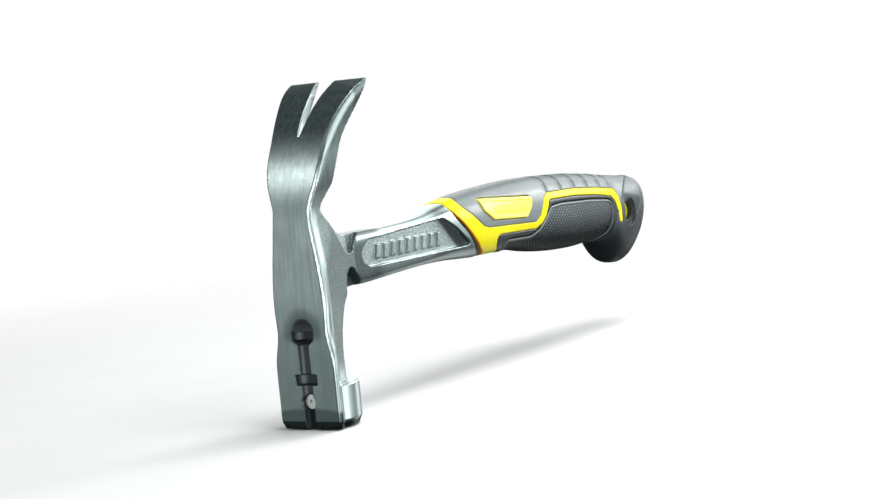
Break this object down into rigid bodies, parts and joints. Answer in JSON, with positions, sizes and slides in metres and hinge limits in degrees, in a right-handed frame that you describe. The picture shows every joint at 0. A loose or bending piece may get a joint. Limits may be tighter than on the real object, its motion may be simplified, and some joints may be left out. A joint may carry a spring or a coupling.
{
  "type": "claw hammer",
  "caption": "One-piece forged steel claw hammer with a magnetic nail groove in its flat crown, a V claw and a moulded two-tone grip that ends in a hook with a lanyard hole.",
  "frame": {"origin": "centre of the striking face, on the face", "axes": "+Z from the striking face up to the tips of the claw, +X along the handle from the head to the butt, Y across the hammer, which is the same on both sides"},
  "size_m": [0.3225, 0.04, 0.147],
  "materials": {
    "forged_steel": "brushed crown, satin forged sides",
    "magnet_nickel": "nickel plated",
    "damper_rubber": "matt",
    "ring_rubber": "matt",
    "yellow_core": "satin moulded",
    "grey_shell": "satin moulded",
    "dark_frame": "satin moulded",
    "textured_pad": "fine raised dots",
    "yellow_badge": "gloss moulded",
    "cap_rubber": "satin moulded"
  },
  "bodies": {
    "root": {"forged_body": "forged_steel", "nail_magnet": "magnet_nickel", "tang_damper": "damper_rubber", "shock_ring": "ring_rubber", "core_sleeve": "yellow_core", "back_shell": "grey_shell", "grip_frame": "dark_frame", "finger_pad": "textured_pad", "badge_left": "yellow_badge", "badge_right": "yellow_badge", "butt_cap": "cap_rubber"}
  },
  "joints": []
}
